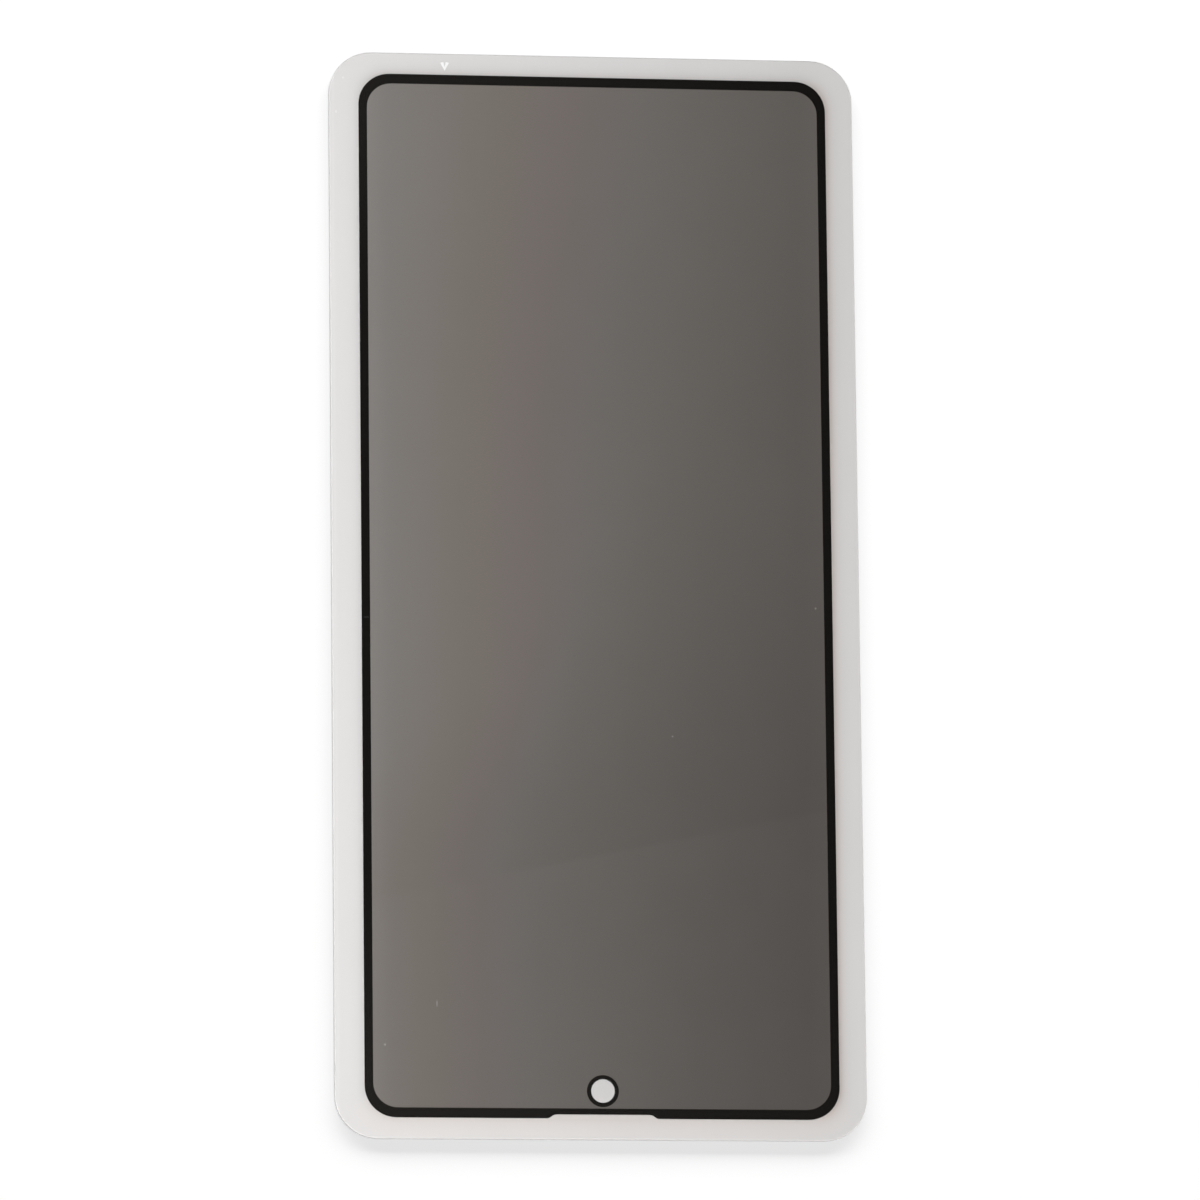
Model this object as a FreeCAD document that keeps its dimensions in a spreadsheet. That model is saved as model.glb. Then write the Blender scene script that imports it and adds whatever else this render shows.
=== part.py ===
import FreeCAD, Part
import math
import os

import Sketcher

# Phone privacy screen protector, lying front up on its release sheet.
# +Z points out of the front glass, X runs across and Y along the phone.
# The earpiece notch and the front camera hole are at the -Y end.
# The origin is at the middle of the release sheet's underside.

doc = FreeCAD.newDocument("privacy_screen_protector")

# Driving sizes in millimetres. Levels and outlines of all layers follow from them.
SIZES = (
    ("glass_width", "66.4", "cover glass, across"),
    ("glass_length", "147.6", "cover glass, end to end"),
    ("glass_corner", "4.6", "corner radius of the cover glass"),
    ("glass_thick", "0.33", "thickness of the cover glass"),
    ("edge_run", "0.4", "how far the curved front edge reaches in"),
    ("edge_drop", "0.1", "how far the curved front edge falls"),
    ("edge_crown", "1", "radius where the curved edge meets the flat front"),
    ("rear_chamfer", "0.04", "ground chamfer on the rear edges of the glass"),
    ("notch_flat", "12.7", "straight bottom of the earpiece notch"),
    ("notch_ramp", "1.5", "length of each S-shaped end of the notch"),
    ("notch_depth", "0.55", "depth of the earpiece notch"),
    ("hole_dia", "3.25", "front camera hole in the glass"),
    ("hole_chamfer", "0.06", "ground chamfer on the rims of the camera hole"),
    ("print_inset", "0.2", "bare glass outside the printed border"),
    ("print_thick", "0.02", "thickness of the black print"),
    ("border_side", "1.2", "printed border along the long edges"),
    ("border_end", "1.4", "printed border along the short edges"),
    ("window_corner", "3.4", "corner radius of the clear window"),
    ("ring_width", "0.6", "printed ring round the camera hole"),
    ("ring_gap", "0.2", "film showing between the ring and the border"),
    ("film_inset", "0.3", "set-back of film and glue from the glass edge"),
    ("film_thick", "0.2", "thickness of the louvre film"),
    ("film_hole_gap", "0.1", "set-back of film and glue round the camera hole"),
    ("bond_thick", "0.05", "glue between film and glass"),
    ("glue_thick", "0.15", "silicone glue that will meet the phone"),
    ("side_margin", "3.8", "release sheet beyond the long edges of the glass"),
    ("end_margin", "2.8", "release sheet beyond the short edges of the glass"),
    ("shift_across", "0.1", "how far the glass lies off the sheet's middle, towards +X"),
    ("shift_along", "0.15", "how far the glass lies off the sheet's middle, towards -Y"),
    ("sheet_corner", "6", "corner radius of the release sheet"),
    ("sheet_thick", "1", "thickness of the release sheet"),
    ("sheet_rim", "0.2", "radius on the upper rim of the release sheet"),
)

sheet = doc.addObject("Spreadsheet::Sheet", "Sizes")
for row, (alias, number, meaning) in enumerate(SIZES, start=1):
    sheet.set(f"A{row}", alias)
    sheet.set(f"B{row}", number)
    sheet.setAlias(f"B{row}", alias)
    sheet.set(f"C{row}", meaning)
doc.recompute()


def value(expression):
    """Number that an expression on the sheet's cells stands for."""
    return float(sheet.evalExpression(expression))


TOUCH = 1e-6
START, END, CENTRE = 1, 2, 3
X_AXIS, Y_AXIS = -1, -2
ORIGIN = (-1, 1)


def new_body(name):
    body = doc.addObject("PartDesign::Body", name)
    body.Label = name
    return body


def place(body, level):
    """Lift a layer to its level and slide it to where the glass lies on its sheet."""
    body.setExpression("Placement.Base.x", "Sizes.shift_across")
    body.setExpression("Placement.Base.y", "-Sizes.shift_along")
    body.setExpression("Placement.Base.z", level)


def new_sketch(body, name):
    plane = next(item for item in body.Origin.OriginFeatures if item.Role == "XY_Plane")
    sketch = body.newObject("Sketcher::SketchObject", name)
    sketch.AttachmentSupport = [(plane, "")]
    sketch.MapMode = "FlatFace"
    return sketch


def new_pad(body, name, sketch, thickness):
    pad = body.newObject("PartDesign::Pad", name)
    pad.Profile = sketch
    pad.setExpression("Length", thickness)
    return pad


def line(x1, y1, x2, y2):
    return Part.LineSegment(FreeCAD.Vector(x1, y1, 0), FreeCAD.Vector(x2, y2, 0))


def arc(x, y, radius, from_degrees, to_degrees):
    circle = Part.Circle(FreeCAD.Vector(x, y, 0), FreeCAD.Vector(0, 0, 1), radius)
    return Part.ArcOfCircle(circle, math.radians(from_degrees), math.radians(to_degrees))


def drive(sketch, name, expression, kind, *where):
    """Add a size to a sketch and bind it to the sheet."""
    index = sketch.addConstraint(Sketcher.Constraint(kind, *where, value(expression)))
    sketch.renameConstraint(index, name)
    sketch.setExpression(f"Constraints.{name}", expression)


def join_smoothly(sketch, joints):
    """Make neighbouring curves meet end to end and tangent to each other."""
    for first, first_end, second, second_end in joints:
        sketch.addConstraint(Sketcher.Constraint("Tangent", first, first_end, second, second_end))


def equal(sketch, first, *others):
    for other in others:
        sketch.addConstraint(Sketcher.Constraint("Equal", first, other))


def add_rounded_rectangle(sketch, label, width, length, corner):
    """Rectangle with round corners, centred on the sketch's origin."""
    half_width = value(width) / 2
    half_length = value(length) / 2
    radius = value(corner)
    in_x = half_width - radius
    in_y = half_length - radius
    first = sketch.GeometryCount
    sketch.addGeometry([
        line(-in_x, -half_length, in_x, -half_length),
        arc(in_x, -in_y, radius, 270, 360),
        line(half_width, -in_y, half_width, in_y),
        arc(in_x, in_y, radius, 0, 90),
        line(in_x, half_length, -in_x, half_length),
        arc(-in_x, in_y, radius, 90, 180),
        line(-half_width, in_y, -half_width, -in_y),
        arc(-in_x, -in_y, radius, 180, 270),
    ])
    near, near_right, right, far_right, far, far_left, left, near_left = range(first, first + 8)
    loop = (near, near_right, right, far_right, far, far_left, left, near_left)
    join_smoothly(sketch, [(a, END, b, START) for a, b in zip(loop, loop[1:] + loop[:1])])
    equal(sketch, near_right, far_right, far_left, near_left)
    sketch.addConstraint(Sketcher.Constraint("Symmetric", near, START, near, END, Y_AXIS))
    sketch.addConstraint(Sketcher.Constraint("Symmetric", right, START, right, END, X_AXIS))
    sketch.addConstraint(Sketcher.Constraint("Horizontal", far))
    sketch.addConstraint(Sketcher.Constraint("Vertical", left))
    drive(sketch, f"{label}_corner", corner, "Radius", near_right)
    drive(sketch, f"{label}_width", width, "DistanceX", left, START, right, END)
    drive(sketch, f"{label}_length", length, "DistanceY", near, START, far, END)


def add_glass_outline(sketch, inset):
    """Outline of the glass, or of a layer set back from it by an even inset.

    The near edge has the earpiece notch: a straight bottom between two S-shaped
    ends, each made of a rounded shoulder and a hollow of tangent arcs.
    """
    width = f"Sizes.glass_width - 2 * {inset}"
    length = f"Sizes.glass_length - 2 * {inset}"
    corner = f"Sizes.glass_corner - {inset}"
    even_radius = "(Sizes.notch_ramp ^ 2 + Sizes.notch_depth ^ 2) / (4 * Sizes.notch_depth)"
    shoulder = f"{even_radius} - {inset}"
    half_width = value(width) / 2
    half_length = value(length) / 2
    radius = value(corner)
    in_x = half_width - radius
    in_y = half_length - radius
    shoulder_radius = value(shoulder)
    hollow_radius = 2 * value(even_radius) - shoulder_radius
    flat_x = value("Sizes.notch_flat") / 2
    mouth_x = flat_x + value("Sizes.notch_ramp")
    flat_y = value("Sizes.notch_depth") - half_length
    bend = math.degrees(math.asin(value("Sizes.notch_ramp") / (shoulder_radius + hollow_radius)))
    sketch.addGeometry([
        line(-in_x, -half_length, -mouth_x, -half_length),
        arc(-mouth_x, shoulder_radius - half_length, shoulder_radius, 270, 270 + bend),
        arc(-flat_x, flat_y - hollow_radius, hollow_radius, 90, 90 + bend),
        line(-flat_x, flat_y, flat_x, flat_y),
        arc(flat_x, flat_y - hollow_radius, hollow_radius, 90 - bend, 90),
        arc(mouth_x, shoulder_radius - half_length, shoulder_radius, 270 - bend, 270),
        line(mouth_x, -half_length, in_x, -half_length),
        arc(in_x, -in_y, radius, 270, 360),
        line(half_width, -in_y, half_width, in_y),
        arc(in_x, in_y, radius, 0, 90),
        line(in_x, half_length, -in_x, half_length),
        arc(-in_x, in_y, radius, 90, 180),
        line(-half_width, in_y, -half_width, -in_y),
        arc(-in_x, -in_y, radius, 180, 270),
    ])
    near_left_edge, left_shoulder, left_hollow, flat, right_hollow, right_shoulder = range(6)
    near_right_edge, near_right, right, far_right, far, far_left, left, near_left = range(6, 14)
    join_smoothly(sketch, (
        (near_left_edge, END, left_shoulder, START),
        (left_shoulder, END, left_hollow, END),
        (left_hollow, START, flat, START),
        (flat, END, right_hollow, END),
        (right_hollow, START, right_shoulder, START),
        (right_shoulder, END, near_right_edge, START),
        (near_right_edge, END, near_right, START),
        (near_right, END, right, START),
        (right, END, far_right, START),
        (far_right, END, far, START),
        (far, END, far_left, START),
        (far_left, END, left, START),
        (left, END, near_left, START),
        (near_left, END, near_left_edge, START),
    ))
    equal(sketch, near_right, far_right, far_left, near_left)
    equal(sketch, left_shoulder, right_shoulder)
    equal(sketch, left_hollow, right_hollow)
    for level_edge in (near_left_edge, near_right_edge, far):
        sketch.addConstraint(Sketcher.Constraint("Horizontal", level_edge))
    sketch.addConstraint(Sketcher.Constraint("Vertical", left))
    sketch.addConstraint(Sketcher.Constraint("Symmetric", flat, START, flat, END, Y_AXIS))
    sketch.addConstraint(Sketcher.Constraint("Symmetric", right, START, right, END, X_AXIS))
    sketch.addConstraint(
        Sketcher.Constraint("Symmetric", near_left_edge, START, near_right_edge, END, Y_AXIS))
    drive(sketch, "corner", corner, "Radius", near_right)
    drive(sketch, "shoulder", shoulder, "Radius", left_shoulder)
    drive(sketch, "width", width, "DistanceX", left, START, right, END)
    drive(sketch, "length", length, "DistanceY", near_left_edge, START, far, END)
    drive(sketch, "notch_flat", "Sizes.notch_flat", "DistanceX", flat, START, flat, END)
    drive(sketch, "notch_ramp", "Sizes.notch_ramp", "DistanceX", near_left_edge, END, flat, START)
    drive(sketch, "notch_depth", "Sizes.notch_depth", "DistanceY", near_left_edge, END, flat, START)


# The camera hole keeps the ring a small gap away from the printed border.
HOLE_TO_EDGE = ("(Sizes.print_inset + Sizes.border_end + Sizes.ring_gap"
                " + Sizes.ring_width + Sizes.hole_dia / 2)")
HOLE_TO_MIDDLE = f"Sizes.glass_length / 2 - {HOLE_TO_EDGE}"


def add_camera_circle(sketch, label, radius):
    """Circle about the front camera, on the centre line near the -Y end."""
    centre = FreeCAD.Vector(0, -value(HOLE_TO_MIDDLE), 0)
    circle = sketch.addGeometry(Part.Circle(centre, FreeCAD.Vector(0, 0, 1), value(radius)))
    sketch.addConstraint(Sketcher.Constraint("PointOnObject", circle, CENTRE, Y_AXIS))
    drive(sketch, f"{label}_radius", radius, "Radius", circle)
    drive(sketch, f"{label}_place", HOLE_TO_MIDDLE, "DistanceY", circle, CENTRE, *ORIGIN)


def add_window(sketch):
    """Clear opening of the printed border."""
    add_rounded_rectangle(
        sketch, "window",
        "Sizes.glass_width - 2 * (Sizes.print_inset + Sizes.border_side)",
        "Sizes.glass_length - 2 * (Sizes.print_inset + Sizes.border_end)",
        "Sizes.window_corner")


def level_edges(feature, level, closed):
    """Edges of a plate at one level: its hole has closed rims, its outline open edges."""
    names = []
    for number, edge in enumerate(feature.Shape.Edges, start=1):
        low, high = edge.BoundBox.ZMin, edge.BoundBox.ZMax
        if max(abs(low - level), abs(high - level)) < TOUCH and edge.isClosed() == closed:
            names.append(f"Edge{number}")
    return names


def dress(body, kind, name, base, edges, **sizes):
    """Add a fillet or chamfer on some edges of a body's last feature."""
    feature = body.newObject(f"PartDesign::{kind}", name)
    feature.Base = (base, edges)
    if len(sizes) == 2:
        feature.ChamferType = "Two distances"
    for size, expression in sizes.items():
        feature.setExpression(size, expression)
    doc.recompute()
    return feature


# Levels of the layers, counted up from the surface that the release sheet lies on.
GLUE_LEVEL = "Sizes.sheet_thick"
FILM_LEVEL = f"{GLUE_LEVEL} + Sizes.glue_thick"
BOND_LEVEL = f"{FILM_LEVEL} + Sizes.film_thick"
GLASS_LEVEL = f"{BOND_LEVEL} + Sizes.bond_thick"
PRINT_LEVEL = f"{GLASS_LEVEL} - Sizes.print_thick"
HOLE_RADIUS = "Sizes.hole_dia / 2"
RING_RADIUS = f"{HOLE_RADIUS} + Sizes.ring_width"
FILM_HOLE_RADIUS = f"{HOLE_RADIUS} + Sizes.film_hole_gap"


def film_layer(name, thickness, level):
    """Layer cut to the film's outline, with a hole that the printed ring hides."""
    body = new_body(name)
    outline = new_sketch(body, f"{name}_outline")
    add_glass_outline(outline, "Sizes.film_inset")
    add_camera_circle(outline, "hole", FILM_HOLE_RADIUS)
    new_pad(body, f"{name}_pad", outline, thickness)
    place(body, level)
    return body


# Release sheet: a die-cut rectangle of milky plastic, larger than the glass all round.
# The die leaves its upper rim slightly round.
backing_sheet = new_body("backing_sheet")
backing_outline = new_sketch(backing_sheet, "backing_outline")
add_rounded_rectangle(
    backing_outline, "sheet",
    "Sizes.glass_width + 2 * Sizes.side_margin",
    "Sizes.glass_length + 2 * Sizes.end_margin",
    "Sizes.sheet_corner")
backing_pad = new_pad(backing_sheet, "backing_pad", backing_outline, "Sizes.sheet_thick")
doc.recompute()
dress(
    backing_sheet, "Fillet", "sheet_rim", backing_pad,
    level_edges(backing_pad, value("Sizes.sheet_thick"), False),
    Radius="Sizes.sheet_rim")

# Silicone glue and louvre film: cut together, so they share one outline and one hole.
mounting_glue = film_layer("mounting_glue", "Sizes.glue_thick", GLUE_LEVEL)
privacy_film = film_layer("privacy_film", "Sizes.film_thick", FILM_LEVEL)

# Bonding glue: a full layer on the film, with a raised field that fills the window
# up to the glass and so levels out the step of the print.
bonding_glue = film_layer("bonding_glue", "Sizes.bond_thick - Sizes.print_thick", BOND_LEVEL)
window_fill = new_sketch(bonding_glue, "window_fill")
add_window(window_fill)
add_camera_circle(window_fill, "ring", RING_RADIUS)
new_pad(bonding_glue, "window_pad", window_fill, "Sizes.bond_thick")

# Black print on the rear of the glass: the border, and the ring round the camera hole.
black_border = new_body("black_border")
border_outline = new_sketch(black_border, "border_outline")
add_glass_outline(border_outline, "Sizes.print_inset")
add_window(border_outline)
new_pad(black_border, "border_pad", border_outline, "Sizes.print_thick")
place(black_border, PRINT_LEVEL)

camera_ring = new_body("camera_ring")
ring_outline = new_sketch(camera_ring, "ring_outline")
add_camera_circle(ring_outline, "outer", RING_RADIUS)
add_camera_circle(ring_outline, "inner", HOLE_RADIUS)
new_pad(camera_ring, "ring_pad", ring_outline, "Sizes.print_thick")
place(camera_ring, PRINT_LEVEL)

# Cover glass: cut and drilled, front edge ground to a curve, the other rims broken.
cover_glass = new_body("cover_glass")
glass_outline = new_sketch(cover_glass, "glass_outline")
add_glass_outline(glass_outline, "0")
add_camera_circle(glass_outline, "hole", HOLE_RADIUS)
glass_pad = new_pad(cover_glass, "glass_pad", glass_outline, "Sizes.glass_thick")
place(cover_glass, GLASS_LEVEL)
doc.recompute()

front = value("Sizes.glass_thick")
front_slope = dress(
    cover_glass, "Chamfer", "front_slope", glass_pad, level_edges(glass_pad, front, False),
    Size="Sizes.edge_drop", Size2="Sizes.edge_run")
front_crown = dress(
    cover_glass, "Fillet", "front_crown", front_slope, level_edges(front_slope, front, False),
    Radius="Sizes.edge_crown")
rear_edge = dress(
    cover_glass, "Chamfer", "rear_edge", front_crown, level_edges(front_crown, 0, False),
    Size="Sizes.rear_chamfer")
dress(
    cover_glass, "Chamfer", "hole_rims", rear_edge,
    level_edges(rear_edge, front, True) + level_edges(rear_edge, 0, True),
    Size="Sizes.hole_chamfer")

pieces = (backing_sheet, mounting_glue, privacy_film, bonding_glue,
          black_border, camera_ring, cover_glass)
for item in doc.Objects:
    if "Invalid" in item.State or "Error" in item.State:
        raise RuntimeError(f"{item.Label} was not built: {item.State}")
for piece in pieces:
    if piece.Shape.isNull() or not piece.Shape.isValid():
        raise RuntimeError(f"{piece.Label} has no sound shape")

os.makedirs("parts", exist_ok=True)
for piece in pieces:
    piece.Shape.exportStep(f"parts/{piece.Label}.step")
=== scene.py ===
import math

import bmesh
import bpy
from mathutils import Matrix, Vector


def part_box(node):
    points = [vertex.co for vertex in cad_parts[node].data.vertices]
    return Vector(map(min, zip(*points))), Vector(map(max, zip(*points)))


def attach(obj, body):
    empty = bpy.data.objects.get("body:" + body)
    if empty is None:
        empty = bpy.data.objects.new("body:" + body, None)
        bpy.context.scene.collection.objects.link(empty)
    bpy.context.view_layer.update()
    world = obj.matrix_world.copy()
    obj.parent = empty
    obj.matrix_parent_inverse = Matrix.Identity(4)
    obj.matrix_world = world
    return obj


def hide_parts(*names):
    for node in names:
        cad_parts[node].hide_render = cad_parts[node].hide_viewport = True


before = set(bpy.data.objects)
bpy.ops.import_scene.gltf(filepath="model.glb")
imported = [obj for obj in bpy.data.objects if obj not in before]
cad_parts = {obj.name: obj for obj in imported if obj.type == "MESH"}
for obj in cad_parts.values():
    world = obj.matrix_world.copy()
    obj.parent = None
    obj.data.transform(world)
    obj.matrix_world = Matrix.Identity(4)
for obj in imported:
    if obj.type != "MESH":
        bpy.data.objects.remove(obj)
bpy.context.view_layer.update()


# Release sheet: the milky plastic sheet that carries the protector until it is used.
# It is die-cut from extruded sheet, so it is satin, a little cloudy and faintly streaked.
# Beside the glass it has painted shade, darker and partly warmer: it stands for light that
# leaks under the dark film and for the shadow of the thin layers, which cast none here.
MM = 0.001
# Lengths are in millimetres, and depths, painted shade, painted light and gains are shares of a piece's
# colour.
SHEET_COLOUR = (0.715, 0.703, 0.696)
SHEET_ROUGHNESS = 0.42
SHEET_IOR = 1.49
CLOUD_SIZE = (9, 14, 9)
CLOUD_DEPTH = 0.025
CLOUD_DULLING = 0.15
STREAK_SIZE = (0.7, 40, 5)
STREAK_DEPTH = 0.012
GRAIN_SIZE = (0.09, 0.12, 0.09)
GRAIN_HEIGHT = 0.01
GRAIN_STRENGTH = 0.25
GRAIN_DULLING = 0.1
GLASS_CORNER = 4.6
SIDE_BLEND = 4
# Painted shade beside the glass: its warmer colour, how far it reaches and its share on each side.
WARM_SHADE_COLOUR = (0.715, 0.640, 0.599)
WARM_SHADE_REACH = 0.5
WARM_SHADE_ON_FAR = 0.25
WARM_SHADE_ON_NEAR = 0.5
WARM_SHADE_NEAR_REACH = 1.8
PAINTED_SHADE_REACH = 0.7
PAINTED_SHADE_ALL_ROUND = 0.13
PAINTED_SHADE_MORE_RIGHT = 0.13
PAINTED_SHADE_MORE_FAR = 0.1
PAINTED_SHADE_LESS_NEAR = 0.05
# Painted shade and light on the round rim.
RIM_SPAN = (0.5, 0.98)
RIM_PAINTED_SHADE = 0.06
RIM_PAINTED_RIGHT_LIGHT = 0.15
# Painted highlight just inside the left rim.
LEFT_HIGHLIGHT_IN = (0.2, 0.5)
LEFT_HIGHLIGHT_OUT = (0.9, 0.5)
LEFT_HIGHLIGHT_GAIN = 0.03
DUST_COLOUR = (0.9, 0.9, 0.89)
SHEET_DUST = ((-35.0, 72.86, 0.16, 0.16), (-36.01, 67.96, 0.14, 0.2))
SHEET_DUST_SHARE = 0.4
SPECK_EDGE = (1.4, 0.4)


class Socket:
    """One socket of a node tree, on which sums add Math nodes."""

    def __init__(self, tree, socket=None):
        self.tree = tree
        self.socket = socket

    def node(self, kind, settings, inputs, output=0):
        """Add a node: its settings first, then the values or links of its sockets."""
        node = self.tree.nodes.new(kind)
        for name, setting in settings.items():
            if name == "stops":
                elements = node.color_ramp.elements
                while len(elements) < len(setting):
                    elements.new(1)
                for element, (position, colour) in zip(elements, setting):
                    element.position = position
                    element.color = (*colour, 1)
            else:
                setattr(node, name, setting)
        for name, given in inputs.items():
            socket = node.inputs[name]
            if isinstance(given, Socket):
                self.tree.links.new(given.socket, socket)
            elif socket.type == "RGBA":
                socket.default_value = (*given, 1)
            else:
                socket.default_value = given
        return Socket(self.tree, node.outputs[output] if node.outputs else None)

    def math(self, operation, *values):
        """Add a Math node on some values or sockets."""
        return self.node("ShaderNodeMath", {"operation": operation}, dict(enumerate(values)))

    def __add__(self, other):
        return self.math("ADD", self, other)

    def __radd__(self, other):
        return self.math("ADD", other, self)

    def __sub__(self, other):
        return self.math("SUBTRACT", self, other)

    def __rsub__(self, other):
        return self.math("SUBTRACT", other, self)

    def __mul__(self, other):
        return self.math("MULTIPLY", self, other)

    def __rmul__(self, other):
        return self.math("MULTIPLY", other, self)

    def __truediv__(self, other):
        return self.math("DIVIDE", self, other)

    def __rtruediv__(self, other):
        return self.math("DIVIDE", other, self)


def start_material(name):
    """A material with an empty node tree, and the start of that tree."""
    material = bpy.data.materials.new(name)
    material.use_nodes = True
    material.node_tree.nodes.clear()
    return material, Socket(material.node_tree)


def point_in_part(nodes):
    """Where a point of the part lies, in millimetres."""
    metres = nodes.node("ShaderNodeTexCoord", {}, {}, "Object")
    return nodes.node("ShaderNodeVectorMath", {"operation": "SCALE"}, {0: metres, "Scale": 1 / MM})


def along_axes(nodes, vector, axes):
    """A vector's lengths along some of the part's axes."""
    return [nodes.node("ShaderNodeSeparateXYZ", {}, {0: vector}, axis) for axis in axes]


def stretched_noise(nodes, point, stretch, detail):
    """Cloudy noise about zero, with one cloud about as long as each stretch."""
    shares = tuple(1 / length for length in stretch)
    vector = nodes.node("ShaderNodeVectorMath", {"operation": "MULTIPLY"}, {0: point, 1: shares})
    return nodes.node("ShaderNodeTexNoise", {}, {"Vector": vector, "Scale": 1, "Detail": detail}) - 0.5


def outside_outline(x, y, box, radius):
    """How far a point lies outside a box with round corners, and zero or less inside it."""
    low, high = (corner / MM for corner in box)
    middle, half = (low + high) / 2, (high - low) / 2
    across = x.math("ABSOLUTE", x - middle.x) - (half.x - radius)
    along = y.math("ABSOLUTE", y - middle.y) - (half.y - radius)
    past_x = x.math("MAXIMUM", across, 0)
    past_y = y.math("MAXIMUM", along, 0)
    return x.math("SQRT", past_x * past_x + past_y * past_y) - radius


def fading(distance, reach):
    """Fall from 1 towards 0 as a distance grows past its reach."""
    return distance.math("EXPONENT", distance / -reach)


def smooth_step(nodes, length, start, end):
    """Rise from 0 at one value to 1 at another, without corners."""
    settings = {"interpolation_type": "SMOOTHSTEP"}
    return nodes.node("ShaderNodeMapRange", settings, {
        "Value": length, "From Min": start, "From Max": end, "To Min": 0, "To Max": 1})


def specks(nodes, x, y, places):
    """Where small specks lie, each given by its middle and its half sizes."""
    covered = 0
    for speck_x, speck_y, half_x, half_y in places:
        off_x, off_y = (x - speck_x) / half_x, (y - speck_y) / half_y
        covered = covered + smooth_step(nodes, off_x * off_x + off_y * off_y, *SPECK_EDGE)
    return covered


def scaled_colour(nodes, colour, factor):
    """A colour made lighter or darker."""
    settings = {"operation": "SCALE"}
    return nodes.node("ShaderNodeVectorMath", settings, {0: colour, "Scale": factor})


def mixed_colour(nodes, share, first, second):
    """A first colour with some share of a second one."""
    settings = {"data_type": "RGBA"}
    return nodes.node("ShaderNodeMix", settings, {0: share, 6: first, 7: second}, 2)


def cover(piece, material):
    """Give a piece one material all over."""
    piece.data.materials.clear()
    piece.data.materials.append(material)


milky_plastic, nodes = start_material("milky_plastic")
point = point_in_part(nodes)
x, y = along_axes(nodes, point, "XY")
clouds = stretched_noise(nodes, point, CLOUD_SIZE, detail=3)
streaks = stretched_noise(nodes, point, STREAK_SIZE, detail=2)
grain = stretched_noise(nodes, point, GRAIN_SIZE, detail=2)

glass_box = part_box("cover_glass")
glass_low, glass_high = (corner / MM for corner in glass_box)
from_glass = x.math("MAXIMUM", outside_outline(x, y, glass_box, GLASS_CORNER), 0)
on_right = smooth_step(nodes, x, glass_high.x - SIDE_BLEND, glass_high.x)
on_far = smooth_step(nodes, y, glass_high.y - SIDE_BLEND, glass_high.y)
on_near = smooth_step(nodes, y, glass_low.y + SIDE_BLEND, glass_low.y)
# Painted shade beside the glass, warmer on its right and near sides and a little on its far side.
warm_shade = fading(from_glass, WARM_SHADE_REACH) * (on_right + WARM_SHADE_ON_FAR * on_far)
warm_shade = warm_shade + fading(from_glass, WARM_SHADE_NEAR_REACH) * WARM_SHADE_ON_NEAR * on_near
# Painted shade beside the glass, darker all round, most on its right and far sides, least on its near
# side.
sheet_painted_shade = PAINTED_SHADE_ALL_ROUND + PAINTED_SHADE_MORE_RIGHT * on_right + PAINTED_SHADE_MORE_FAR * on_far - PAINTED_SHADE_LESS_NEAR * on_near
sheet_painted_shade = fading(from_glass, PAINTED_SHADE_REACH) * sheet_painted_shade

# Painted shade and light on the round rim: a little darker all round, darker still where it
# faces left, and lighter where it faces right.
rightward, upward = along_axes(nodes, nodes.node("ShaderNodeNewGeometry", {}, {}, "Normal"), "XZ")
rim_light_and_shade = (RIM_PAINTED_RIGHT_LIGHT * rightward - RIM_PAINTED_SHADE) * (1 - smooth_step(nodes, upward, *RIM_SPAN))
# Painted highlight: a faint light line just inside the left rim.
from_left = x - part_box("backing_sheet")[0].x / MM
left_highlight = smooth_step(nodes, from_left, *LEFT_HIGHLIGHT_IN) * smooth_step(nodes, from_left, *LEFT_HIGHLIGHT_OUT)

sheet_tone = 1 + CLOUD_DEPTH * clouds + STREAK_DEPTH * streaks
sheet_tone = sheet_tone - sheet_painted_shade + rim_light_and_shade + LEFT_HIGHLIGHT_GAIN * left_highlight
sheet_dust = SHEET_DUST_SHARE * specks(nodes, x, y, SHEET_DUST)
sheet_colour = mixed_colour(nodes, warm_shade, SHEET_COLOUR, WARM_SHADE_COLOUR)
sheet_colour = mixed_colour(nodes, sheet_dust, sheet_colour, DUST_COLOUR)
grain_bump = nodes.node("ShaderNodeBump", {}, {
    "Strength": GRAIN_STRENGTH, "Distance": GRAIN_HEIGHT * MM, "Height": grain})
sheet_shader = nodes.node("ShaderNodeBsdfPrincipled", {}, {
    "Base Color": scaled_colour(nodes, sheet_colour, sheet_tone),
    "Roughness": SHEET_ROUGHNESS + CLOUD_DULLING * clouds + GRAIN_DULLING * grain,
    "IOR": SHEET_IOR,
    "Normal": grain_bump,
})
nodes.node("ShaderNodeOutputMaterial", {}, {"Surface": sheet_shader})
cover(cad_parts["backing_sheet"], milky_plastic)
# Diffuse light misses the sheet, so it throws no tint of its own on the floor.
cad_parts["backing_sheet"].visible_diffuse = False


# Arrow mark: a small white chevron on the sheet's far edge that shows which end to peel.
# It is printed in white ink, a few hundredths of a millimetre thick.
ARROW_MIDDLE = (-20.68, 74.75)
ARROW_WIDTH = 1.25
ARROW_HEIGHT = 1.25
ARROW_STROKE = 0.46
ARROW_SLOPE = 0.1
ARROW_NOTCH = 0.75
ARROW_THICK = 0.03
ARROW_COLOUR = (0.93, 0.93, 0.925)
ARROW_ROUGHNESS = 0.5
WEAR_SIZE = (0.25, 0.25, 0.25)
WEAR_DEPTH = 0.06
WEAR_DULLING = 0.2

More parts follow.
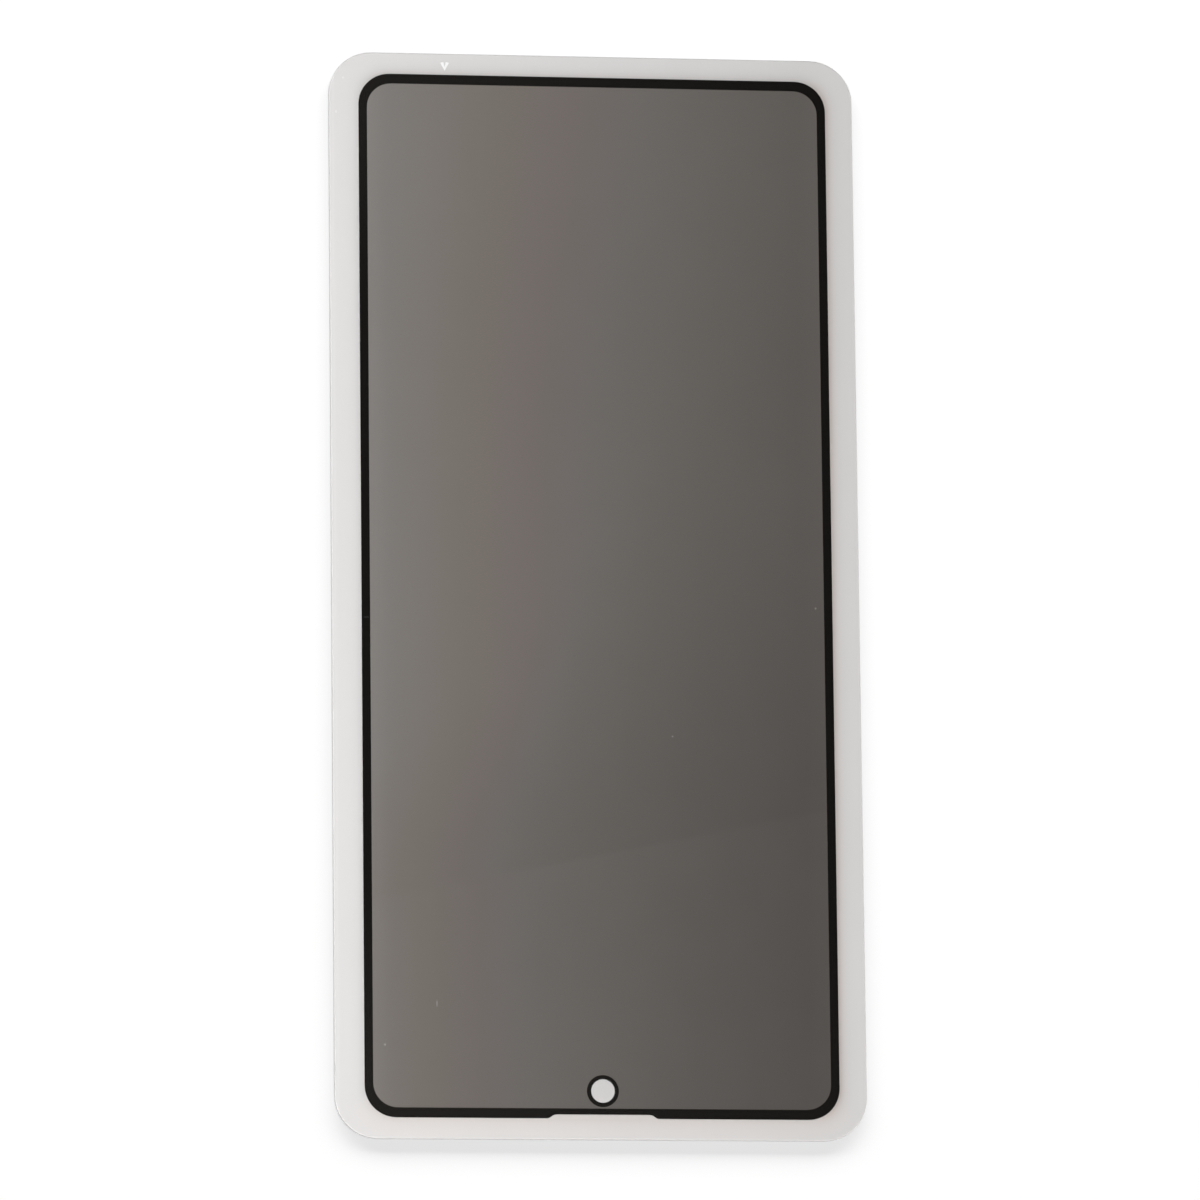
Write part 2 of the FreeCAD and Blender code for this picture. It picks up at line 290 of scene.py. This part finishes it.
sheet_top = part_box("backing_sheet")[1].z
side, top = ARROW_WIDTH / 2, ARROW_HEIGHT / 2
chevron = (
    (0, -top),
    (side, top - ARROW_SLOPE),
    (side - ARROW_STROKE, top),
    (0, top - ARROW_NOTCH),
    (ARROW_STROKE - side, top),
    (-side, top - ARROW_SLOPE),
)
arrow_mesh = bmesh.new()
corners = []
for across, along in chevron:
    corner = Vector((ARROW_MIDDLE[0] + across, ARROW_MIDDLE[1] + along)) * MM
    corners.append(arrow_mesh.verts.new((*corner, sheet_top)))
raised = bmesh.ops.extrude_face_region(arrow_mesh, geom=[arrow_mesh.faces.new(corners)])["geom"]
lifted = [item for item in raised if isinstance(item, bmesh.types.BMVert)]
bmesh.ops.translate(arrow_mesh, verts=lifted, vec=(0, 0, ARROW_THICK * MM))
bmesh.ops.recalc_face_normals(arrow_mesh, faces=arrow_mesh.faces)
arrow_data = bpy.data.meshes.new("peel_arrow")
arrow_mesh.to_mesh(arrow_data)
arrow_mesh.free()
arrow = bpy.data.objects.new("peel_arrow", arrow_data)
bpy.context.scene.collection.objects.link(arrow)

white_ink, nodes = start_material("white_ink")
ink_wear = stretched_noise(nodes, point_in_part(nodes), WEAR_SIZE, detail=3)
ink_shader = nodes.node("ShaderNodeBsdfPrincipled", {}, {
    "Base Color": scaled_colour(nodes, ARROW_COLOUR, 1 + WEAR_DEPTH * ink_wear),
    "Roughness": ARROW_ROUGHNESS + WEAR_DULLING * ink_wear,
})
nodes.node("ShaderNodeOutputMaterial", {}, {"Surface": ink_shader})
cover(arrow, white_ink)
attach(arrow, "root")


# Clear glues: soft silicone under the film, which will stick to a phone, and a thinner
# bond between film and glass. Both are coated on, clear but for a faint haze.
GLUE_CLEAR = (0.99, 0.988, 0.98)
GLUE_COLOUR = (0.8, 0.79, 0.77)
GLUE_HAZE = 0.02
GLUE_ROUGHNESS = 0.3
HAZE_SIZE = (4, 6, 4)
HAZE_DEPTH = 0.3
RIPPLE_SIZE = (2, 2, 2)
RIPPLE_DULLING = 0.2


def cast_nothing(piece):
    """Let a thin layer cast no shadow and no tint, because the milky sheet spreads light under it."""
    piece.visible_shadow = False
    piece.visible_diffuse = False


clear_glue, nodes = start_material("clear_glue")
point = point_in_part(nodes)
ripple = stretched_noise(nodes, point, RIPPLE_SIZE, detail=2)
haze = GLUE_HAZE * (1 + HAZE_DEPTH * stretched_noise(nodes, point, HAZE_SIZE, detail=3))
glue_shader = nodes.node("ShaderNodeBsdfPrincipled", {}, {
    "Base Color": GLUE_COLOUR,
    "Roughness": GLUE_ROUGHNESS + RIPPLE_DULLING * ripple,
})
through_glue = nodes.node("ShaderNodeBsdfTransparent", {}, {"Color": GLUE_CLEAR})
glue_mix = nodes.node("ShaderNodeMixShader", {}, {0: haze, 1: through_glue, 2: glue_shader})
nodes.node("ShaderNodeOutputMaterial", {}, {"Surface": glue_mix})
for glue in ("mounting_glue", "bonding_glue"):
    cover(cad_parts[glue], clear_glue)
    cast_nothing(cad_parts[glue])


# Louvre film: plastic film with upright dark louvres finer than a hair, so it looks dark
# grey with a brownish cast. It is bonded under the glass. Painted light and shade stand for
# how its louvres pass light: lighter towards its left side and its far right corner, darker
# towards its near end, and a painted shade that deepens down to a faint slanted line across
# it, below which it is a little lighter. It is also lighter near its left and right sides.
FILM_LIGHT = 0.1885
FILM_PAINTED_FALL = 0.0995
# The film's tint at each level of its painted light and shade.
FILM_TINTS = (
    (0.075, (1, 0.870, 0.800)),
    (0.115, (1, 0.892, 0.828)),
    (0.139, (1, 0.900, 0.852)),
    (0.153, (1, 0.850, 0.815)),
    (0.167, (1, 0.872, 0.775)),
    (0.184, (1, 0.925, 0.885)),
)
FILM_ROUGHNESS = 0.5
LOUVRE_PITCH = 0.12
LOUVRE_DEPTH = 0.03
BAND_SIZE = (2.2, 60, 5)
BAND_DEPTH = 0.02
MOTTLE_SIZE = (7, 12, 7)
MOTTLE_DEPTH = 0.01
MOTTLE_DULLING = 0.2
# What is across the film is a share of its width, and what is along it is a place in y.
SLANT = 0.208
SLANT_PLACE = -37.04
SLANT_BLUR = 0.4
SLANT_STEP = 0.31
SHADE_LEFT = 0.06
SHADE_MORE_RIGHT = 0.115
SHADE_ACROSS = (0.05, 0.45)
SHADE_HEIGHT = 28
SHADE_TALLER = 36
SHADE_TALLER_ACROSS = (0.25, 0.65)
SHADE_LOWER_SHARE = 0.4
SHADE_LOWER_ACROSS = (0.7, 0.95)
# Painted light towards the far right corner.
FAR_PAINTED_LIGHT = 0.15
FAR_ALONG = (20, 75)
# Painted shade towards the near end, deeper on the right.
NEAR_PAINTED_SHADE = 0.135
NEAR_MORE_PAINTED_SHADE = 0.05
NEAR_MORE_ACROSS = (0.4, 0.75)
NEAR_ALONG = (20, -75)
EDGE_GAIN = 0.11
EDGE_FROM_MIDDLE = (0.43, 0.49)
FILM_DUST = (
    (-30.04, -63.66, 0.15, 0.17),
    (-22.8, -57.91, 0.08, 0.5),
    (10.38, -20.24, 0.14, 0.12),
    (30.72, -1.91, 0.14, 0.14),
)
FILM_DUST_SHARE = 0.15
DRAW_IN = 0.005


def drawn_in(name, node, material):
    """A layer's own form, drawn in above and below by less than a hair.

    Layers that are bonded share their faces, and two faces in one plane can't both be seen.
    """
    low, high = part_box(node)
    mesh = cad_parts[node].data.copy()
    for vertex in mesh.vertices:
        vertex.co.z = min(max(vertex.co.z, low.z + DRAW_IN * MM), high.z - DRAW_IN * MM)
    piece = bpy.data.objects.new(name, mesh)
    bpy.context.scene.collection.objects.link(piece)
    cover(piece, material)
    cast_nothing(piece)
    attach(piece, "root")
    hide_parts(node)
    return piece


louvre_film, nodes = start_material("louvre_film")
point = point_in_part(nodes)
x, y = along_axes(nodes, point, "XY")
film_low, film_high = (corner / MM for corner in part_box("privacy_film"))
across = (x - film_low.x) / (film_high.x - film_low.x)
from_middle = x.math("ABSOLUTE", across - 0.5)

# Painted shade that deepens down to the slanted line, a little lighter below it and deeper to the right.
above_slant = y - SLANT * x - SLANT_PLACE
taller = smooth_step(nodes, across, *SHADE_TALLER_ACROSS)
taller = taller - SHADE_LOWER_SHARE * smooth_step(nodes, across, *SHADE_LOWER_ACROSS)
shade = smooth_step(nodes, above_slant, SHADE_HEIGHT + SHADE_TALLER * taller, 0)
shade = shade - SLANT_STEP * smooth_step(nodes, above_slant, SLANT_BLUR, -SLANT_BLUR)
shade = shade * (SHADE_LEFT + SHADE_MORE_RIGHT * smooth_step(nodes, across, *SHADE_ACROSS))
# Painted light towards the far right corner.
far_painted_light = FAR_PAINTED_LIGHT * across * smooth_step(nodes, y, *FAR_ALONG)
# The film's dark grey, with painted shade deepening towards the right.
film_level_with_painted_light = (FILM_LIGHT - FILM_PAINTED_FALL * across) * (1 - shade + far_painted_light)
film_tint = nodes.node("ShaderNodeValToRGB", {"stops": FILM_TINTS}, {"Fac": film_level_with_painted_light})

louvres = x.math("SINE", x * (2 * math.pi / LOUVRE_PITCH))
bands = stretched_noise(nodes, point, BAND_SIZE, detail=2)
mottle = stretched_noise(nodes, point, MOTTLE_SIZE, detail=4)
# Painted shade towards the near end, deeper on the right.
near_painted_shade = NEAR_PAINTED_SHADE + NEAR_MORE_PAINTED_SHADE * smooth_step(nodes, across, *NEAR_MORE_ACROSS)
film_tone = 1 + LOUVRE_DEPTH * louvres + BAND_DEPTH * bands + MOTTLE_DEPTH * mottle
film_tone = film_tone - near_painted_shade * smooth_step(nodes, y, *NEAR_ALONG)
film_tone = film_tone + EDGE_GAIN * smooth_step(nodes, from_middle, *EDGE_FROM_MIDDLE)
film_colour = scaled_colour(nodes, film_tint, film_tone * film_level_with_painted_light)
film_dust = FILM_DUST_SHARE * specks(nodes, x, y, FILM_DUST)
film_shader = nodes.node("ShaderNodeBsdfPrincipled", {}, {
    "Base Color": mixed_colour(nodes, film_dust, film_colour, DUST_COLOUR),
    "Roughness": FILM_ROUGHNESS + MOTTLE_DULLING * mottle,
    "Specular IOR Level": 0,
})
nodes.node("ShaderNodeOutputMaterial", {}, {"Surface": film_shader})
film = drawn_in("louvre_sheet", "privacy_film", louvre_film)


# Black print: opaque ink screened on the rear of the glass, as a border round the window
# and a ring round the camera hole, so it is only seen through the glass.
INK_BLACK = (0.0052, 0.0047, 0.0042)
INK_ROUGHNESS = 0.6
INK_GRAIN_SIZE = (0.4, 0.4, 0.4)
INK_GRAIN_DEPTH = 0.5
INK_GRAIN_DULLING = 0.2
INK_LINT = ((-32.22, -3.94, 0.4, 0.12),)
INK_LINT_SHARE = 0.02

black_print, nodes = start_material("black_print")
point = point_in_part(nodes)
x, y = along_axes(nodes, point, "XY")
ink_grain = stretched_noise(nodes, point, INK_GRAIN_SIZE, detail=3)
ink_colour = scaled_colour(nodes, INK_BLACK, 1 + INK_GRAIN_DEPTH * ink_grain)
lint = INK_LINT_SHARE * specks(nodes, x, y, INK_LINT)
print_shader = nodes.node("ShaderNodeBsdfPrincipled", {}, {
    "Base Color": mixed_colour(nodes, lint, ink_colour, DUST_COLOUR),
    "Roughness": INK_ROUGHNESS + INK_GRAIN_DULLING * ink_grain,
    "Specular IOR Level": 0,
})
nodes.node("ShaderNodeOutputMaterial", {}, {"Surface": print_shader})
for print_node in ("black_border", "camera_ring"):
    cover(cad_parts[print_node], black_print)
    cast_nothing(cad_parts[print_node])


# Cover glass: thin toughened glass, polished, with a ground and curved front edge.
# It is clear with a trace of green, and finger marks dull its gloss a little.
GLASS_TINT = (0.992, 0.996, 0.994)
GLASS_IOR = 1.5
GLASS_ROUGHNESS = 0.045
SMUDGE_SIZE = (16, 22, 16)
SMUDGE_DULLING = 0.06

clear_glass, nodes = start_material("clear_glass")
smudges = stretched_noise(nodes, point_in_part(nodes), SMUDGE_SIZE, detail=4)
mirror = nodes.node("ShaderNodeBsdfPrincipled", {}, {
    "Base Color": (1, 1, 1),
    "Metallic": 1,
    "Roughness": GLASS_ROUGHNESS + SMUDGE_DULLING * smudges,
})
through_glass = nodes.node("ShaderNodeBsdfTransparent", {}, {"Color": GLASS_TINT})
gloss = nodes.node("ShaderNodeFresnel", {}, {"IOR": GLASS_IOR})
inside = nodes.node("ShaderNodeNewGeometry", {}, {}, "Backfacing")
glass_mix = nodes.node("ShaderNodeMixShader", {}, {0: gloss * (1 - inside), 1: through_glass, 2: mirror})
nodes.node("ShaderNodeOutputMaterial", {}, {"Surface": glass_mix})
glass = drawn_in("glass_pane", "cover_glass", clear_glass)


# Studio: a white floor, soft lights on the part from its left and near sides and, very low,
# from its right, a wide light on the floor from beyond the far end, which lays the part's
# shadow to the near side, and a flag overhead, dark in its middle, that the glass mirrors.
WHITE = (1, 1, 1)
# Lengths in the studio are in metres.
FLOOR_SIZE = 8.0
FLOOR_DROP = 0.01 * MM
FLOOR_WHITE = (0.85, 0.85, 0.85)
FLOOR_GLOW = 0.525
SKY_ON_PART = 0.27
LEFT_LIGHT_PLACE = (-0.171, 0, 0.186)
LEFT_LIGHT_SIZE = (0.7, 0.15)
LEFT_LIGHT_WATTS = 0.914
NEAR_LIGHT_PLACE = (0, -0.8, 0.45)
NEAR_LIGHT_SIZE = (0.6, 0.3)
NEAR_LIGHT_WATTS = 3.515
RIGHT_LIGHT_PLACE = (0.6, 0, 0.007)
RIGHT_LIGHT_SIZE = (0.5, 0.012)
RIGHT_LIGHT_WATTS = 2.0
FAR_LIGHT_PLACE = (0, 3.0, 1.08)
FAR_LIGHT_SIZE = (8.0, 1.12)
FAR_LIGHT_WATTS = 171
FLAG_HEIGHT = 0.7
FLAG_SIZE = 1.6
FLAG_COLOUR = (1, 0.91, 0.84)
FLAG_GREY = 0.09
FLAG_GLINT = 0.15
FLAG_NEAR_GLINT = 0.05
FLAG_MIDDLE = (0.092, 0.131)
FLAG_REACH = (0.05, 0.11)
FLAG_FADE = (0.4, 0.8)
GLINT_SIDE = (1.2, -1.2)
GLINT_ENDS = (0.5, 1)
GLINT_NEAR = (-0.6, -1)


def flat_square(name, size, height):
    """A level square for the stage, centred over the part."""
    half = size / 2
    mesh = bpy.data.meshes.new(name)
    corners = [(-half, -half, height), (half, -half, height), (half, half, height), (-half, half, height)]
    mesh.from_pydata(corners, [], [(0, 1, 2, 3)])
    square = bpy.data.objects.new(name, mesh)
    bpy.context.scene.collection.objects.link(square)
    return square


def area_light(name, place, size, watts, lit):
    """A soft rectangular light on some pieces, which the glass doesn't mirror."""
    lamp = bpy.data.lights.new(name, "AREA")
    lamp.shape = "RECTANGLE"
    lamp.size, lamp.size_y = size
    lamp.energy = watts
    light = bpy.data.objects.new(name, lamp)
    light.location = place
    light.rotation_euler = (-Vector(place)).to_track_quat("-Z", "Y").to_euler()
    light.visible_camera = False
    light.visible_glossy = False
    bpy.context.scene.collection.objects.link(light)
    receivers = bpy.data.collections.new(f"lit_by_{name}")
    for piece in lit:
        receivers.objects.link(piece)
    light.light_linking.receiver_collection = receivers


def looked_at(nodes):
    """1 for what is seen straight on, in a mirror or through glass, and 0 for plain light."""
    shown = nodes.node("ShaderNodeLightPath", {}, {}, "Is Camera Ray")
    for ray in ("Is Glossy Ray", "Is Transmission Ray"):
        shown = shown.math("MAXIMUM", shown, nodes.node("ShaderNodeLightPath", {}, {}, ray))
    return shown


floor = flat_square("floor", FLOOR_SIZE, -FLOOR_DROP)
floor_white, nodes = start_material("floor_white")
matt = nodes.node("ShaderNodeBsdfDiffuse", {}, {"Color": FLOOR_WHITE})
glow_level = FLOOR_GLOW * looked_at(nodes)
glow = nodes.node("ShaderNodeEmission", {}, {"Color": scaled_colour(nodes, WHITE, glow_level)})
floor_shader = nodes.node("ShaderNodeAddShader", {}, {0: matt, 1: glow})
nodes.node("ShaderNodeOutputMaterial", {}, {"Surface": floor_shader})
cover(floor, floor_white)

flag = flat_square("overhead_flag", FLAG_SIZE, FLAG_HEIGHT)
flag_grey, nodes = start_material("flag_grey")
x, y = along_axes(nodes, point_in_part(nodes), "XY")
off_x = (x * MM - FLAG_MIDDLE[0]) / FLAG_REACH[0]
off_y = (y * MM - FLAG_MIDDLE[1]) / FLAG_REACH[1]
to_ends = smooth_step(nodes, y.math("ABSOLUTE", off_y), *GLINT_ENDS)
glint = smooth_step(nodes, off_x, *GLINT_SIDE) * to_ends
near_glint = smooth_step(nodes, off_y, *GLINT_NEAR)
flag_level = FLAG_GREY + FLAG_GLINT * glint + FLAG_NEAR_GLINT * near_glint
to_edge = smooth_step(nodes, x.math("SQRT", x * x + y * y) * MM, *FLAG_FADE)
flag_colour = mixed_colour(nodes, to_edge, scaled_colour(nodes, FLAG_COLOUR, flag_level), WHITE)
flag_shader = nodes.node("ShaderNodeEmission", {}, {"Color": flag_colour})
nodes.node("ShaderNodeOutputMaterial", {}, {"Surface": flag_shader})
cover(flag, flag_grey)
for ray in ("camera", "diffuse", "transmission", "volume_scatter", "shadow"):
    setattr(flag, f"visible_{ray}", False)

part_pieces = (*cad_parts.values(), arrow, film, glass)
area_light("left_light", LEFT_LIGHT_PLACE, LEFT_LIGHT_SIZE, LEFT_LIGHT_WATTS, part_pieces)
area_light("near_light", NEAR_LIGHT_PLACE, NEAR_LIGHT_SIZE, NEAR_LIGHT_WATTS, part_pieces)
area_light("right_light", RIGHT_LIGHT_PLACE, RIGHT_LIGHT_SIZE, RIGHT_LIGHT_WATTS, part_pieces)
area_light("far_light", FAR_LIGHT_PLACE, FAR_LIGHT_SIZE, FAR_LIGHT_WATTS, (floor,))

world = bpy.data.worlds.new("studio")
world.use_nodes = True
world.node_tree.nodes.clear()
nodes = Socket(world.node_tree)
sky_level = SKY_ON_PART + (1 - SKY_ON_PART) * looked_at(nodes)
sky = nodes.node("ShaderNodeBackground", {}, {"Color": scaled_colour(nodes, WHITE, sky_level)})
nodes.node("ShaderNodeOutputWorld", {}, {"Surface": sky})
bpy.context.scene.world = world
bpy.context.scene.view_settings.view_transform = "Standard"


# Camera: high above the part with a long lens, leaning a little towards its near left
# corner, with the part turned to stand upright in the square picture.
CAMERA_AZIMUTH = math.radians(-35.055)
CAMERA_ELEVATION = math.radians(77.141)
CAMERA_ROLL = math.radians(35.126)
CAMERA_AIM = (0.613, -0.850, 0)
CAMERA_DISTANCE = 1391.554
CAMERA_CLIP = (10, 20000)
SENSOR = 36
LENS = 300

back = Vector((
    math.sin(CAMERA_AZIMUTH) * math.cos(CAMERA_ELEVATION),
    -math.cos(CAMERA_AZIMUTH) * math.cos(CAMERA_ELEVATION),
    math.sin(CAMERA_ELEVATION)))
level = Vector((math.cos(CAMERA_AZIMUTH), math.sin(CAMERA_AZIMUTH), 0))
turned = Matrix((level, back.cross(level), back)).transposed() @ Matrix.Rotation(CAMERA_ROLL, 3, "Z")
camera_data = bpy.data.cameras.new("camera")
camera_data.sensor_width = SENSOR
camera_data.lens = LENS
camera_data.clip_start, camera_data.clip_end = (reach * MM for reach in CAMERA_CLIP)
camera = bpy.data.objects.new("camera", camera_data)
eye = (Vector(CAMERA_AIM) + back * CAMERA_DISTANCE) * MM
camera.matrix_world = Matrix.Translation(eye) @ turned.to_4x4()
bpy.context.scene.collection.objects.link(camera)
bpy.context.scene.camera = camera
